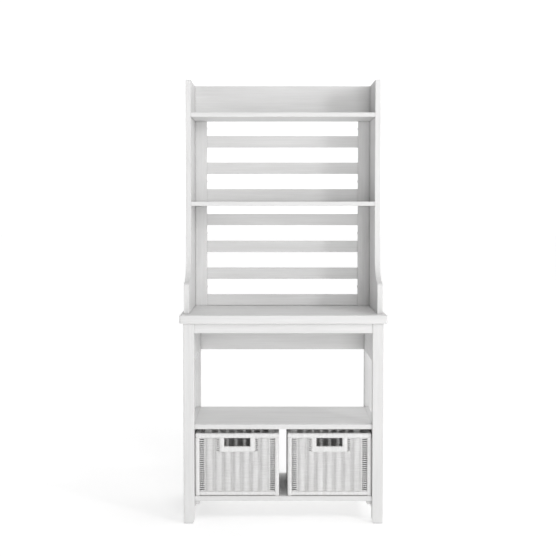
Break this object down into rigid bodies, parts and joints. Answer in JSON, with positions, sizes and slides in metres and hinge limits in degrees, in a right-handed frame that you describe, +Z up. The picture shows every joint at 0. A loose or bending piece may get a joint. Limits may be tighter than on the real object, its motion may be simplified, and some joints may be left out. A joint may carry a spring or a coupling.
{
  "type": "hutch bench with pull-out baskets",
  "caption": "Tall white open unit: leg table with bench shelf and basket shelf, woven baskets that pull out, and a hutch with slatted back.",
  "frame": {"origin": "on the floor, under the middle of the worktop", "axes": "+Z up, +X to the right seen from the front, +Y to the back; the baskets pull out along -Y"},
  "size_m": [0.746, 0.393, 1.613],
  "materials": {
    "painted_wood": "matt white paint over brushed wood grain",
    "dowel_wood": "bare beech",
    "zinc_steel": "zinc plated",
    "enamelled_steel": "white enamel",
    "screw_cap": "satin",
    "cane": "whitewashed wrapped cane",
    "wicker": "whitewashed woven reed"
  },
  "bodies": {
    "unit": {"front_left_leg": "painted_wood", "front_right_leg": "painted_wood", "back_left_leg": "painted_wood", "back_right_leg": "painted_wood", "front_apron": "painted_wood", "back_apron": "painted_wood", "left_side_apron": "painted_wood", "right_side_apron": "painted_wood", "left_bench_rail": "painted_wood", "right_bench_rail": "painted_wood", "left_lower_rail": "painted_wood", "right_lower_rail": "painted_wood", "left_shelf_cleat": "painted_wood", "right_shelf_cleat": "painted_wood", "bench_shelf": "painted_wood", "bottom_shelf": "painted_wood", "worktop": "painted_wood", "left_side_panel": "painted_wood", "right_side_panel": "painted_wood", "left_stile": "painted_wood", "right_stile": "painted_wood", "top_rail": "painted_wood", "slat_1": "painted_wood", "slat_2": "painted_wood", "slat_3": "painted_wood", "slat_4": "painted_wood", "slat_5": "painted_wood", "slat_6": "painted_wood", "slat_7": "painted_wood", "hutch_top_shelf": "painted_wood", "hutch_middle_shelf": "painted_wood", "leg_dowels": "dowel_wood", "hutch_dowels": "dowel_wood", "slat_dowels": "dowel_wood", "apron_bolts": "zinc_steel", "barrel_nuts": "zinc_steel", "bench_shelf_screws": "zinc_steel", "cleat_screws": "zinc_steel", "worktop_brackets": "zinc_steel", "bracket_screws": "zinc_steel", "hutch_base_screws": "zinc_steel", "hutch_shelf_screws": "zinc_steel", "stile_screws": "enamelled_steel", "bench_screw_caps": "screw_cap", "hutch_screw_caps": "screw_cap"},
    "left_basket": {"left_basket_rim": "cane", "left_basket_posts": "cane", "left_basket_base_frame": "cane", "left_basket_grip": "cane", "left_basket_front_weave": "wicker", "left_basket_rear_weave": "wicker", "left_basket_floor_weave": "wicker"},
    "right_basket": {"right_basket_rim": "cane", "right_basket_posts": "cane", "right_basket_base_frame": "cane", "right_basket_grip": "cane", "right_basket_front_weave": "wicker", "right_basket_rear_weave": "wicker", "right_basket_floor_weave": "wicker"}
  },
  "joints": [
    {"name": "left_basket_slide", "type": "slide", "parent": "unit", "child": "left_basket", "axis": [0, -1, 0], "range_m": [0, 0.32]},
    {"name": "right_basket_slide", "type": "slide", "parent": "unit", "child": "right_basket", "axis": [0, -1, 0], "range_m": [0, 0.32]}
  ]
}
